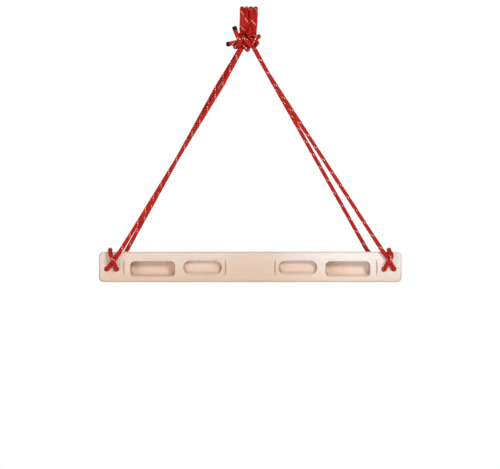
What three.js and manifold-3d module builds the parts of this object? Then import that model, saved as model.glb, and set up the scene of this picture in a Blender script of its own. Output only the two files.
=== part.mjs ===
// A portable finger-training board: a milled hardwood block that hangs on one braided cord.
// Lengths are in millimetres. X runs along the board, Y from its front to its back, and Z up.
// The origin is on the axis of the round opening in the cord's winding.
import * as THREE from 'three';
import { mergeVertices } from 'three/addons/utils/BufferGeometryUtils.js';
import Module from 'manifold-3d';

const wasm = await Module();
wasm.setup();

// Driving dimensions
const clearance = 0.3; // left between pieces that touch
const overrun = 4; // how far a cutter reaches past the face that it opens
const bar = { diameter: 36 };
const cord = {
  diameter: 6.5,
  bend: 6, // centreline radius of a bend
  slackBend: 80, // radius where a leg bends a little under the knot
  straight: 9, // straight run of a wrap towards its leg
  layer: 7.7, // from one strand to the strand that crosses over it
  step: 19.5, // longest straight run between two rings of a tube
};
const board = {
  length: 510,
  height: 51,
  thickness: 38,
  edgeRadius: 4, // round the front and back faces
  endRadius: 8, // the four corners seen from the front
  drop: 391, // from the winding's axis to the board's top
};
const groove = {
  innerMargin: 7.9, // along the board, from the inner pocket's side to the hollow's end
  outerMargin: 12.5, // from the outer pocket's side to the hollow's other end
  height: 32,
  depth: 2.4,
  below: 1, // under the board's mid-height
  ramp: 3.2, // length of its sloping ends at mid-height
  taper: 2.8, // how much shorter they are at the hollow's top and bottom
};
const outerPocket = {
  fromEnd: 90.5, // from the board's end to the middle of the pocket
  below: 2.6, // under the board's mid-height
  width: 75.6,
  height: 25,
  depth: 22,
  cornerRadius: 8,
  upperLip: 2,
  lowerLip: 5,
  sideLip: 2,
  floorRadius: 4,
  rise: 3, // how far the lower wall climbs towards the floor
};
const innerPocket = {
  fromEnd: 174.7,
  below: 0.8,
  width: 65,
  height: 23,
  depth: 13,
  cornerRadius: 11,
  upperLip: 2,
  lowerLip: 5,
  sideLip: 2.5,
  floorRadius: 5,
  rise: 5,
};
const cordHole = {
  outer: 13.5, // from the board's end
  inner: 29.5,
  below: 3.4,
  room: 0.75, // between the cord and the wall
  lip: 1.6,
};
const winding = {
  passes: 4, // over its top
  pitch: 7.65,
  centre: -2.4,
  bottom: 24.5, // from its axis down to the middle of a turn's lowest bend
  bottomBend: 10,
  rise: 9.6, // of the third turn, where it crosses over the cord's last strand
  riseShares: [0.05, 0.54], // of that turn, counted from its top
  slide: 3.9, // sideways, of the third turn under the crossing
  slideShares: [0.15, 0.53],
  nudge: 0.7, // sideways, of the second turn beside it
};
const knot = {
  centre: new THREE.Vector3(-4.6, 0, -36),
  radius: 22, // of the ball that the knotted strands leave
  upperNeck: 36, // where each rope's first link ends
  lowerNeck: 55, // where its second link ends
};
const sleeve = {
  length: 6.5,
  wall: 0.5,
  domeShare: 0.35, // of its outer radius
};

// Counts
const loopSteps = 24;
const cordSides = 8;
const loopSides = 6;
const sleeveSides = 16;
const arcSteps = 5;
const domeSteps = 4;

const halfLength = board.length / 2;
const boardTop = -board.drop;
const boardMiddle = boardTop - board.height / 2;
const frontFace = -board.thickness / 2;
const holeHeight = boardMiddle - cordHole.below;
const cordRadius = cord.diameter / 2;
const onFront = frontFace - cordRadius - clearance;
const onBack = -onFront;
const onTop = boardTop + cordRadius + clearance;

// Chosen places on the cord's route, each as X, Y, Z.
// A leg leaves the knot along the line from its knot point to its spread point.
const legPoints = {
  left_front: { knot: [-13.9, -4.2, -45.9], spread: [-46.4, -8, -108.4] },
  left_back: { knot: [-15.8, 3.8, -45.2], spread: [-55.4, 7.5, -108.4] },
  right_front: { knot: [7.6, -6.6, -48.4], spread: [29.1, -9.6, -88.2] },
  right_back: { knot: [6.4, 3.6, -46.5], spread: [29.5, 5.5, -88.2] },
};
const windingStart = [
  [-15.8, 8.8, -39.5],
  [-14.8, 13.8, -30],
  [-14.6, 18.8, -18],
];
const windingEnd = [
  [8, -18.8, 10.8],
  [7.1, -21.9, 4],
  [4.6, -21.8, -3],
  [1.5, -22.3, -11],
  [-0.4, -20.9, -18],
  [-1.1, -15.2, -26],
  [0.4, -7.8, -31.7],
  [5, -4.4, -35.2],
  [10.4, -2.6, -35.8],
  [12.6, 3, -37],
  [9.2, 8.2, -39.4],
  [5.8, 7.4, -42.8],
];
const leftStrand = [
  [-9.5, -3.6, -41.5],
  [-3.6, -6.4, -40.5],
  [2.4, -14.2, -37.4],
  [10.2, -16.4, -31.8],
  [14.6, -11, -27],
  [14.4, -1.5, -26.6],
  [12, 9, -28],
  [5, 15.8, -27.2],
  [-4, 19.8, -26.6],
  [-13, 23.2, -28.6],
  [-22, 18.8, -33.2],
  [-27, 9.6, -39.6],
  [-26, 0, -45.4],
  [-21.2, -10.2, -44],
  [-17.4, -15.2, -41],
  [-17.6, -19.2, -36],
  [-21.2, -19.8, -29],
  [-24.4, -21.2, -20.5],
  [-26.6, -22.2, -13],
];
const rightStrand = [
  [4.6, -12.6, -45.4],
  [-0.2, -19, -42.8],
  [-7, -20.8, -35],
  [-13.8, -17.4, -28],
  [-19, -10, -24.6],
  [-20.4, -1.5, -26],
  [-17.5, 2.8, -31],
  [-10, 4.4, -34.3],
  [-4, 7.2, -39],
  [-3.4, 5, -46],
  [-4.8, -2, -50],
  [-6.6, -10.4, -48],
  [-9.2, -12.4, -41.2],
  [-13, -9.8, -36.2],
  [-20.5, -7, -36.2],
  [-28, -6, -37.8],
  [-39.2, -4.6, -40.2],
];
// Distances from the board's end to places on the cord's wrap round it,
// and how far under the board's top its two front strands cross.
const wraps = {
  left: {
    side: -1,
    legTop: 38,
    cross: 25.5,
    crossDrop: 14.8,
    bulge: 21.6,
    overFront: 19,
    overBack: 16.5,
    backTop: 45,
  },
  right: {
    side: 1,
    legTop: 33.9,
    cross: 21.5,
    crossDrop: 13.6,
    bulge: 16.6,
    overFront: 22.6,
    overBack: 18,
    backTop: 56.3,
  },
};
const bulgeDrop = 7; // from the board's top to the widest place of the over-strand
const holeEntry = 2; // how much further out the over-strand enters its hole

// Joins rings of points into one closed solid. The rings run anticlockwise seen from the first end.
function loft(rings, firstCentre, lastCentre) {
  const sides = rings[0].length;
  const points = rings.flat();
  const index = [];
  for (let ring = 0; ring < rings.length - 1; ring += 1) {
    for (let side = 0; side < sides; side += 1) {
      const a = ring * sides + side;
      const b = ring * sides + (side + 1) % sides;
      index.push(a, a + sides, b + sides, a, b + sides, b);
    }
  }
  const first = points.push(firstCentre) - 1;
  const last = points.push(lastCentre) - 1;
  const lastRing = (rings.length - 1) * sides;
  for (let side = 0; side < sides; side += 1) {
    const next = (side + 1) % sides;
    index.push(first, side, next);
    index.push(last, lastRing + next, lastRing + side);
  }
  const geometry = new THREE.BufferGeometry().setFromPoints(points);
  geometry.setIndex(index);
  geometry.computeVertexNormals();
  return geometry;
}

function middleOf(ring) {
  const sum = new THREE.Vector3();
  for (const point of ring) {
    sum.add(point);
  }
  return sum.divideScalar(ring.length);
}

// Booleans work on welded meshes.
function toSolid(geometry) {
  const bare = geometry.clone();
  bare.deleteAttribute('normal');
  bare.deleteAttribute('uv');
  const welded = mergeVertices(bare);
  const vertProperties = new Float32Array(welded.attributes.position.array);
  const triVerts = new Uint32Array(welded.index.array);
  return new wasm.Manifold(new wasm.Mesh({ numProp: 3, vertProperties, triVerts }));
}

function toGeometry(solid) {
  const mesh = solid.getMesh();
  const geometry = new THREE.BufferGeometry();
  geometry.setAttribute('position', new THREE.BufferAttribute(mesh.vertProperties, mesh.numProp));
  geometry.setIndex(new THREE.BufferAttribute(mesh.triVerts, 1));
  geometry.computeVertexNormals();
  return geometry;
}

// The board before it is cut: a block with rounded ends and edges.
function makeBlank() {
  const r = board.endRadius;
  const x = halfLength - r;
  const y = board.height / 2 - r;
  const outline = new THREE.Shape();
  outline.absarc(x, y, r, 0, Math.PI / 2);
  outline.absarc(-x, y, r, Math.PI / 2, Math.PI);
  outline.absarc(-x, -y, r, Math.PI, 1.5 * Math.PI);
  outline.absarc(x, -y, r, 1.5 * Math.PI, 2 * Math.PI);
  const depth = board.thickness - 2 * board.edgeRadius;
  const blank = new THREE.ExtrudeGeometry(outline, {
    depth,
    curveSegments: arcSteps,
    bevelSegments: arcSteps,
    bevelThickness: board.edgeRadius,
    bevelSize: board.edgeRadius,
    bevelOffset: -board.edgeRadius,
  });
  blank.translate(0, 0, -depth / 2);
  blank.rotateX(Math.PI / 2);
  blank.translate(0, 0, boardMiddle);
  return blank;
}

// How far a rounded edge of this radius opens a wall, at a depth under the face.
function lipOpening(radius, depth) {
  const inside = Math.max(radius - Math.max(depth, 0), 0);
  return radius - Math.sqrt(radius * radius - inside * inside);
}

// One rounded outline of a pocket, at a depth under the board's front face.
function pocketRing(pocket, side, depth) {
  const intoFloor = Math.max(depth - pocket.depth + pocket.floorRadius, 0);
  const inset = lipOpening(pocket.floorRadius, pocket.floorRadius - intoFloor);
  const height = boardMiddle - pocket.below;
  const climb = (pocket.rise * Math.max(depth, 0)) / pocket.depth;
  const halfWidth = pocket.width / 2 + lipOpening(pocket.sideLip, depth) - inset;
  const top = height + pocket.height / 2 + lipOpening(pocket.upperLip, depth) - inset;
  const bottom = height - pocket.height / 2 - lipOpening(pocket.lowerLip, depth) + inset + climb;
  const radius = Math.min(pocket.cornerRadius - inset, (top - bottom) / 2);
  const centre = side * (halfLength - pocket.fromEnd);
  const corners = [
    [centre + halfWidth - radius, bottom + radius, -Math.PI / 2],
    [centre + halfWidth - radius, top - radius, 0],
    [centre - halfWidth + radius, top - radius, Math.PI / 2],
    [centre - halfWidth + radius, bottom + radius, Math.PI],
  ];
  const ring = [];
  for (const [x, z, start] of corners) {
    for (let step = 0; step <= arcSteps; step += 1) {
      const angle = start + (step / arcSteps) * (Math.PI / 2);
      ring.push(new THREE.Vector3(
        x + radius * Math.cos(angle),
        frontFace + depth,
        z + radius * Math.sin(angle),
      ));
    }
  }
  return ring;
}

function makePocketCutter(pocket, side) {
  const depths = [-overrun];
  for (let step = 0; step <= arcSteps; step += 1) {
    depths.push(pocket.lowerLip * (1 - Math.cos((step / arcSteps) * (Math.PI / 2))));
  }
  for (let step = 0; step < arcSteps; step += 1) {
    const turned = Math.sin((step / (arcSteps - 1)) * (Math.PI / 2));
    depths.push(pocket.depth - pocket.floorRadius * (1 - turned));
  }
  const rings = depths.map((depth) => pocketRing(pocket, side, depth));
  return loft(rings, middleOf(rings[0]), middleOf(rings[rings.length - 1]));
}

// The shallow hollow that runs along the front of two pockets.
function makeGrooveCutter(side) {
  const half = groove.height / 2;
  const sagitta = groove.depth;
  const radius = (half * half + sagitta * sagitta) / (2 * sagitta);
  const height = boardMiddle - groove.below;
  const steps = 2 * arcSteps;
  const ringAt = (x, share, taper) => {
    const ring = [
      new THREE.Vector3(x + taper, frontFace - overrun, height + half),
      new THREE.Vector3(x + taper, frontFace - overrun, height - half),
    ];
    for (let step = 0; step <= steps; step += 1) {
      const z = half * ((2 * step) / steps - 1);
      const depth = Math.sqrt(radius * radius - z * z) - radius + sagitta;
      const along = x + taper * (1 - depth / sagitta);
      ring.push(new THREE.Vector3(along, frontFace + share * depth, height + z));
    }
    return ring;
  };
  const nearEnd = halfLength - innerPocket.fromEnd - innerPocket.width / 2 - groove.innerMargin;
  const farEnd = halfLength - outerPocket.fromEnd + outerPocket.width / 2 + groove.outerMargin;
  const ends = [nearEnd * side, farEnd * side].sort((a, b) => a - b);
  const rings = [
    ringAt(ends[0], 0, groove.taper),
    ringAt(ends[0] + groove.ramp, 1, 0),
    ringAt(ends[1] - groove.ramp, 1, 0),
    ringAt(ends[1], 0, -groove.taper),
  ];
  const seenFromFirstEnd = rings.map((ring) => ring.reverse());
  return loft(seenFromFirstEnd, middleOf(rings[0]), middleOf(rings[3]));
}

function makeHoleCutter(x) {
  const radius = cordRadius + cordHole.room;
  const half = board.thickness / 2;
  const profile = [new THREE.Vector2(0, -half - overrun)];
  profile.push(new THREE.Vector2(radius + cordHole.lip, -half - overrun));
  for (let step = 0; step <= 3; step += 1) {
    const depth = cordHole.lip * (1 - Math.cos((step / 3) * (Math.PI / 2)));
    profile.push(new THREE.Vector2(radius + lipOpening(cordHole.lip, depth), depth - half));
  }
  const mirrored = profile.map((point) => new THREE.Vector2(point.x, -point.y)).reverse();
  const cutter = new THREE.LatheGeometry([...profile, ...mirrored], 2 * cordSides);
  cutter.translate(x, 0, holeHeight);
  return cutter;
}

function makeBoard() {
  let block = toSolid(makeBlank());
  for (const side of [-1, 1]) {
    const cutters = [
      makeGrooveCutter(side),
      makePocketCutter(outerPocket, side),
      makePocketCutter(innerPocket, side),
      makeHoleCutter(side * (halfLength - cordHole.inner)),
      makeHoleCutter(side * (halfLength - cordHole.outer)),
    ];
    for (const cutter of cutters) {
      block = block.subtract(toSolid(cutter));
    }
  }
  return toGeometry(block);
}

function toPoint(place) {
  return new THREE.Vector3(...place);
}

// Rounds each corner of a route with an arc, as wide as its two runs allow.
function roundRoute(corners, bend, stepsPerTurn) {
  const path = [corners[0].clone()];
  for (let i = 1; i < corners.length - 1; i += 1) {
    const before = corners[i - 1].clone().sub(corners[i]);
    const after = corners[i + 1].clone().sub(corners[i]);
    const turn = Math.PI - before.angleTo(after);
    const room = Math.min(before.length(), after.length()) / 2;
    const reach = Math.min(bend * Math.tan(turn / 2), room);
    const radius = reach / Math.tan(turn / 2);
    const start = before.setLength(reach).add(corners[i]);
    const end = after.setLength(reach).add(corners[i]);
    const toMiddle = start.clone().add(end).divideScalar(2).sub(corners[i]);
    const middle = toMiddle.setLength(radius / Math.cos(turn / 2)).add(corners[i]);
    const first = start.clone().sub(middle);
    const last = end.clone().sub(middle);
    const steps = Math.max(1, Math.round((stepsPerTurn * turn) / (2 * Math.PI)));
    for (let step = 0; step <= steps; step += 1) {
      const share = step / steps;
      const a = Math.sin((1 - share) * turn) / Math.sin(turn);
      const b = Math.sin(share * turn) / Math.sin(turn);
      path.push(middle.clone().addScaledVector(first, a).addScaledVector(last, b));
    }
  }
  path.push(corners[corners.length - 1].clone());
  return path;
}

// Adds points to long straight runs.
function divideRuns(path, longest) {
  const divided = [path[0]];
  for (let i = 1; i < path.length; i += 1) {
    const parts = Math.ceil(path[i].distanceTo(path[i - 1]) / longest);
    for (let part = 1; part <= parts; part += 1) {
      divided.push(path[i - 1].clone().lerp(path[i], part / parts));
    }
  }
  return divided.filter((point, i) => i === 0 || point.distanceTo(divided[i - 1]) > clearance);
}

// Moves a point along a direction until it lies on a ball about the knot's centre.
function slideToBall(point, direction, radius) {
  const offset = point.clone().sub(knot.centre);
  const b = offset.dot(direction);
  const c = offset.lengthSq() - radius * radius;
  const slide = Math.sqrt(b * b - c) - b;
  return point.clone().addScaledVector(direction, slide);
}

// A closed tube of cord along a path. An end that is given a ball's radius is cut to that ball.
function makeCord({ path, sides, balls }) {
  const tangents = path.map((point, i) => {
    const from = path[Math.max(i - 1, 0)];
    const to = path[Math.min(i + 1, path.length - 1)];
    return to.clone().sub(from).normalize();
  });
  const normal = new THREE.Vector3(0, 1, 0).cross(tangents[0]);
  if (normal.lengthSq() === 0) {
    normal.set(1, 0, 0);
  }
  const rings = path.map((centre, i) => {
    const along = tangents[i];
    normal.addScaledVector(along, -normal.dot(along)).normalize();
    const other = normal.clone().cross(along);
    const ring = [];
    for (let side = 0; side < sides; side += 1) {
      const angle = (side / sides) * 2 * Math.PI;
      const point = centre.clone();
      point.addScaledVector(normal, cordRadius * Math.cos(angle));
      point.addScaledVector(other, cordRadius * Math.sin(angle));
      ring.push(point);
    }
    return ring;
  });
  const centres = [path[0].clone(), path[path.length - 1].clone()];
  for (const end of [0, 1]) {
    if (balls[end]) {
      const ring = end * (rings.length - 1);
      const away = centres[end].clone().sub(knot.centre);
      const outward = tangents[ring].clone().multiplyScalar(Math.sign(away.dot(tangents[ring])));
      rings[ring] = rings[ring].map((point) => slideToBall(point, outward, balls[end]));
      centres[end] = slideToBall(centres[end], outward, balls[end]);
    }
  }
  return loft(rings, centres[0], centres[1]);
}

// The least gap between cords, on points a millimetre or less apart.
function densePoints(path) {
  const dense = [];
  let travelled = 0;
  for (let i = 1; i < path.length; i += 1) {
    const run = path[i].distanceTo(path[i - 1]);
    const parts = Math.ceil(run);
    for (let part = 0; part < parts; part += 1) {
      const point = path[i - 1].clone().lerp(path[i], part / parts);
      dense.push({ point, travelled: travelled + (run * part) / parts });
    }
    travelled += run;
  }
  return dense;
}

function describeLeastGap(first, second) {
  const apart = first === second ? 3 * cord.diameter : 0;
  const others = densePoints(second);
  let least = Infinity;
  let pair = [];
  for (const a of densePoints(first)) {
    for (const b of others) {
      const distance = a.point.distanceTo(b.point);
      const counts = apart === 0 || Math.abs(a.travelled - b.travelled) > apart;
      if (counts && distance < least) {
        least = distance;
        pair = [a.point, b.point];
      }
    }
  }
  const places = pair.map((point) => point.toArray().map((x) => x.toFixed(1)).join(' '));
  return `least gap ${(least - cord.diameter).toFixed(2)} between (${places.join(') and (')})`;
}

// Swells from nothing to 1 and back over a stretch of a turn of the winding.
function swell(turned, [from, to]) {
  const share = (turned - from) / (to - from);
  return share > 0 && share < 1 ? 0.5 - 0.5 * Math.cos(2 * Math.PI * share) : 0;
}

// The winding's middle line: a wide half circle on top, and a narrower one lower down.
// Its turns run straight down the front and step sideways at the back.
function windingPath() {
  const { passes, pitch, bottomBend, riseShares, slideShares } = winding;
  const radius = bar.diameter / 2 + cordRadius;
  const lowCentre = winding.bottom - bottomBend;
  const turnOff = (bottomBend - radius) / lowCentre;
  const path = [];
  const last = (passes - 1) * loopSteps + 3;
  for (let step = -loopSteps / 4; step <= last; step += 1) {
    const turn = step / loopSteps;
    const angle = turn * 2 * Math.PI;
    const low = Math.cos(angle) < turnOff;
    const third = turn - (passes - 2);
    const second = turn - (passes - 3);
    const reach = (low ? bottomBend : radius) + winding.rise * swell(third, riseShares);
    const sideways = winding.slide * swell(third, slideShares)
      - winding.nudge * swell(second, riseShares);
    const advance = turn - Math.sin(angle) / (2 * Math.PI);
    path.push(new THREE.Vector3(
      winding.centre + pitch * (advance - (passes - 1) / 2) + sideways,
      -reach * Math.sin(angle),
      reach * Math.cos(angle) - (low ? lowCentre : 0),
    ));
  }
  return path;
}

// The point where a leg's line crosses a ball about the knot's centre.
function legAt(name, radius) {
  const { knot: near, spread: far } = legPoints[name];
  const direction = toPoint(far).sub(toPoint(near)).normalize();
  return slideToBall(toPoint(near), direction, radius);
}

function makeWrapCorners(wrap) {
  const { side } = wrap;
  const at = (fromEnd, y, z) => new THREE.Vector3(side * (halfLength - fromEnd), y, z);
  const over = onFront - cord.layer;
  return [
    at(wrap.legTop, onFront, onTop),
    at(wrap.cross, onFront, boardTop - wrap.crossDrop),
    at(cordHole.outer, onFront, holeHeight),
    at(cordHole.outer, onBack, holeHeight),
    at(wrap.overBack, onBack, onTop),
    at(wrap.overFront, onFront, onTop),
    at(wrap.bulge, over, boardTop - bulgeDrop),
    at(wrap.cross, over, boardTop - wrap.crossDrop),
    at(cordHole.inner, onFront - holeEntry, holeHeight),
    at(cordHole.inner, onBack, holeHeight),
    at(wrap.backTop, onBack, onTop),
  ];
}

// A cap that is shrunk onto one of the cord's two ends.
function makeSleeve(path) {
  const end = path[path.length - 1];
  const along = end.clone().sub(path[path.length - 2]).normalize();
  const bore = cordRadius + clearance;
  const outer = bore + sleeve.wall;
  const dome = sleeve.domeShare * outer;
  const inside = sleeve.length - dome;
  const profile = [new THREE.Vector2(0, inside), new THREE.Vector2(bore, inside)];
  profile.push(new THREE.Vector2(bore, 0), new THREE.Vector2(outer, 0));
  for (let step = 0; step <= domeSteps; step += 1) {
    const angle = (step / domeSteps) * (Math.PI / 2);
    const radius = outer - dome * (1 - Math.cos(angle));
    profile.push(new THREE.Vector2(radius, inside + dome * Math.sin(angle)));
  }
  profile.push(new THREE.Vector2(0, sleeve.length));
  const cap = new THREE.LatheGeometry(profile, sleeveSides);
  cap.translate(0, clearance - inside, 0);
  cap.applyQuaternion(new THREE.Quaternion().setFromUnitVectors(new THREE.Vector3(0, 1, 0), along));
  cap.translate(end.x, end.y, end.z);
  return cap;
}

const woodLook = { color: 0xe8d2b8, roughness: 0.55, metalness: 0 };
const cordLook = { color: 0xd0241e, roughness: 0.8, metalness: 0 };
const sleeveLook = { color: 0x141414, roughness: 0.45, metalness: 0 };
const part = new THREE.Group();

function addPiece(name, geometry, look) {
  const mesh = new THREE.Mesh(geometry, new THREE.MeshStandardMaterial(look));
  mesh.name = name;
  part.add(mesh);
}

// One straight link of a leg, between two balls about the knot's centre
function neckLink(name, from, to) {
  const path = divideRuns([legAt(name, from), legAt(name, to)], cord.step);
  return { path, sides: cordSides, balls: [from, to] };
}

function strandCorners(name, places) {
  return [legAt(name, knot.radius), toPoint(legPoints[name].knot), ...places.map(toPoint)];
}

function looseStrand(corners, balls) {
  return { path: roundRoute(corners, 2 * cord.bend, loopSteps), sides: loopSides, balls };
}

const cords = {};
for (const side of ['left', 'right']) {
  const corners = makeWrapCorners(wraps[side]);
  const ends = {};
  for (const [face, corner] of [['front', corners[0]], ['back', corners[corners.length - 1]]]) {
    const name = `${side}_${face}`;
    const spread = toPoint(legPoints[name].spread);
    const up = spread.clone().sub(corner).normalize();
    ends[face] = corner.clone().addScaledVector(up, cord.straight);
    const legEnd = ends[face].clone().addScaledVector(up, clearance);
    const from = knot.lowerNeck + clearance;
    const route = roundRoute([legAt(name, from), spread, legEnd], cord.slackBend, loopSteps);
    const path = divideRuns(route, cord.step);
    cords[`${name}_upper_neck`] = neckLink(name, knot.radius + clearance, knot.upperNeck);
    cords[`${name}_lower_neck`] = neckLink(name, knot.upperNeck + clearance, knot.lowerNeck);
    cords[`${name}_leg`] = { path, sides: cordSides, balls: [from, 0] };
  }
  const path = roundRoute([ends.front, ...corners, ends.back], cord.bend, loopSteps);
  cords[`${side}_end_wrap`] = { path, sides: loopSides, balls: [0, 0] };
}
cords.bar_winding = looseStrand([
  ...strandCorners('left_back', windingStart),
  ...windingPath(),
  ...windingEnd.map(toPoint),
  ...strandCorners('right_back', []).reverse(),
], [knot.radius, knot.radius]);
cords.left_knot_strand = looseStrand(strandCorners('left_front', leftStrand), [knot.radius, 0]);
cords.right_knot_strand = looseStrand(strandCorners('right_front', rightStrand), [knot.radius, 0]);

const tangles = [
  ['left_end_wrap'],
  ['right_end_wrap'],
  ['bar_winding', 'left_knot_strand', 'right_knot_strand'],
];
for (const names of tangles) {
  for (const [i, name] of names.entries()) {
    for (const other of names.slice(i)) {
      const gap = describeLeastGap(cords[name].path, cords[other].path);
      console.log(`${name} to ${other === name ? 'itself' : other}: ${gap}`);
    }
  }
}

addPiece('board', makeBoard(), woodLook);
for (const [name, strand] of Object.entries(cords)) {
  addPiece(name, makeCord(strand), cordLook);
}
for (const side of ['left', 'right']) {
  addPiece(`${side}_end_sleeve`, makeSleeve(cords[`${side}_knot_strand`].path), sleeveLook);
}

export default part;
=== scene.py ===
# The looks of a wooden finger-training board that hangs on one red braided cord.
# Lengths are in metres. X runs along the board, Y from its front to its back, and Z up.
# The origin is on the axis of the round opening in the cord's winding.
import math

import bmesh
import bpy
import numpy as np
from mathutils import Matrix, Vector


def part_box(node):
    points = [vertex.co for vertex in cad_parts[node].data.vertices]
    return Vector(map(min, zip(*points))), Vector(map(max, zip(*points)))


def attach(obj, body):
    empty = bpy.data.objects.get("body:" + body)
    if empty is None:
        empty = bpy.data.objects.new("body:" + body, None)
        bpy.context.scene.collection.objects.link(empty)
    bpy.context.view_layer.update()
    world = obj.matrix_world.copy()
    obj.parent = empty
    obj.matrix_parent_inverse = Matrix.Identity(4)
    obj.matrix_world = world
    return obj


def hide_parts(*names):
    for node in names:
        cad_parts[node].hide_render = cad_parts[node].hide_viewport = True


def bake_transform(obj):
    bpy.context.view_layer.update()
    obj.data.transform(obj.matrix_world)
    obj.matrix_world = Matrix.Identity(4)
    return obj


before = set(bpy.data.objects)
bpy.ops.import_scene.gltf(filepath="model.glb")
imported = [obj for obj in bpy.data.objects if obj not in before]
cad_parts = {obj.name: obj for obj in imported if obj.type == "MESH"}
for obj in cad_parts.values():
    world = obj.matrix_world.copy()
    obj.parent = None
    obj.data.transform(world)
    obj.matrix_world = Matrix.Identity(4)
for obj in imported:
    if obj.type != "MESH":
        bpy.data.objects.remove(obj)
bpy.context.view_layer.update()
board_low, board_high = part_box("board")

# The camera sees the photograph's frame, which is 500 by 469 pixels.
FRAME_WIDTH = 0.8415  # across the picture, at the board's front face
CAMERA_DISTANCE = 3.0
CAMERA_X, CAMERA_Z = -0.0004, -0.3617
FLOOR_Z, FLOOR_REACH = -1.0, 20
FLOOR_GREY = 0.86
FLOOR_PLAIN = 0.35  # how much of it is plain white in its middle, and more for each metre away
WORLD_STRENGTH = 0.22
LAMPS_AIM = (0, 0, -0.3)
# Each lamp's place, size and power
LAMPS = {
    "key": ((1.2, -2.3, 0.7), 0.7, 41),
    "fill": ((-1.3, -1.6, -0.2), 1.2, 12.5),
    "back": ((-0.9, 2.4, 0.1), 1.2, 30),
}

# The cord
CORD_DIAMETER = 0.0065
KNOT_RADIUS = 0.0037  # the cord's own, where it is pulled into the knot
LEG_RADIUS = 0.0032  # where it is stretched
WRAP_RADIUS = 0.0036  # where it lies slack round the board
HOLE_RADIUS = 0.0039  # where it swells to fill a hole
THICKENS = 0.02  # how long before a wrap a leg starts to get thicker
PRESSED, SPREAD = 0.07, 0.12  # how much thinner and then wider it is in the winding, as shares
KNOT_BEND, WRAP_BEND, SLACK_BEND = 0.012, 0.006, 0.08
BEND_STEP = 0.06  # largest turn of a bend between two points of the route, in radians
LEAST_TURN = 0.001  # a corner under this stays as it is
CORD_STEP = 0.0008
CORD_SIDES = 20
# Widths of running averages along the cord, in steps
ROUTE_BLUR, THICKNESS_BLUR, PRESSED_BLUR = 2, 4, 8
OPENING_RADIUS = 0.018  # of the round opening in the winding
TOUCH = 0.0003  # between the cord and what it lies on
LAYER = 0.0077  # from one strand to the strand that crosses over it
STRAIGHT = 0.009  # straight run of a wrap towards its leg

# Where a leg's pieces meet, as distances from the knot's middle
KNOT_CENTRE = np.array([-0.0046, 0, -0.036])
LEAVES_KNOT, UPPER_END, LOWER_END, TWISTS_UNTIL = 0.020, 0.036, 0.055, 0.250
LEG_END_LENGTH = 0.070  # the length of a leg's last piece, before its wrap

LEG_POINTS = {
    "left_front": ((-0.0139, -0.0042, -0.0459), (-0.0464, -0.008, -0.1084)),
    "left_back": ((-0.0158, 0.0038, -0.0452), (-0.0554, 0.0075, -0.1084)),
    "right_front": ((0.0076, -0.0066, -0.0484), (0.0291, -0.0096, -0.0882)),
    "right_back": ((0.0064, 0.0036, -0.0465), (0.0295, 0.0055, -0.0882)),
}
WINDING_START = [
    (-0.0158, 0.0088, -0.0395),
    (-0.0148, 0.0138, -0.030),
    (-0.0146, 0.0188, -0.018),
]
WINDING_END = [
    (0.008, -0.0188, 0.0108),
    (0.0071, -0.0219, 0.004),
    (0.0046, -0.0218, -0.003),
    (0.0015, -0.0223, -0.011),
    (-0.0004, -0.0209, -0.018),
    (-0.0011, -0.0152, -0.026),
    (0.0004, -0.0078, -0.0317),
    (0.005, -0.0044, -0.0352),
    (0.0104, -0.0026, -0.0358),
    (0.0126, 0.003, -0.037),
    (0.0092, 0.0082, -0.0394),
    (0.0058, 0.0074, -0.0428),
]
LEFT_STRAND = [
    (-0.0095, -0.0036, -0.0415),
    (-0.0036, -0.0064, -0.0405),
    (0.0024, -0.0142, -0.0374),
    (0.0102, -0.0164, -0.0318),
    (0.0146, -0.011, -0.027),
    (0.0144, -0.0015, -0.0266),
    (0.012, 0.009, -0.028),
    (0.005, 0.0158, -0.0272),
    (-0.004, 0.0198, -0.0266),
    (-0.013, 0.0232, -0.0286),
    (-0.022, 0.0188, -0.0332),
    (-0.027, 0.0096, -0.0396),
    (-0.026, 0, -0.0454),
    (-0.0212, -0.0102, -0.044),
    (-0.0174, -0.0152, -0.041),
    (-0.0176, -0.0192, -0.036),
    (-0.0212, -0.0198, -0.029),
    (-0.0244, -0.0212, -0.0205),
    (-0.0266, -0.0222, -0.013),
]
RIGHT_STRAND = [
    (0.0046, -0.0126, -0.0454),
    (-0.0002, -0.019, -0.0428),
    (-0.007, -0.0208, -0.035),
    (-0.0138, -0.0174, -0.028),
    (-0.019, -0.010, -0.0246),
    (-0.0204, -0.0015, -0.026),
    (-0.0175, 0.0028, -0.031),
    (-0.010, 0.0044, -0.0343),
    (-0.004, 0.0072, -0.039),
    (-0.0034, 0.005, -0.046),
    (-0.0048, -0.002, -0.050),
    (-0.0066, -0.0104, -0.048),
    (-0.0092, -0.0124, -0.0412),
    (-0.013, -0.0098, -0.0362),
    (-0.0205, -0.007, -0.0362),
    (-0.028, -0.006, -0.0378),
    (-0.0392, -0.0046, -0.0402),
]
# Distances from the board's end, and how far under its top the front strands cross
WRAPS = {
    "left": {
        "side": -1, "leg_top": 0.038, "cross": 0.0255, "cross_drop": 0.0148, "bulge": 0.0216,
        "over_front": 0.019, "over_back": 0.0165, "back_top": 0.045,
    },
    "right": {
        "side": 1, "leg_top": 0.0339, "cross": 0.0215, "cross_drop": 0.0136, "bulge": 0.0166,
        "over_front": 0.0226, "over_back": 0.018, "back_top": 0.0563,
    },
}
BULGE_DROP = 0.007  # how far under the board's top the upper strand stands out most
HOLE_ENTRY = 0.002  # how far it stands off the face where it turns into its hole
HOLE_MOUTH = 0.007  # how deep in a hole the cord starts to swell
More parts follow.
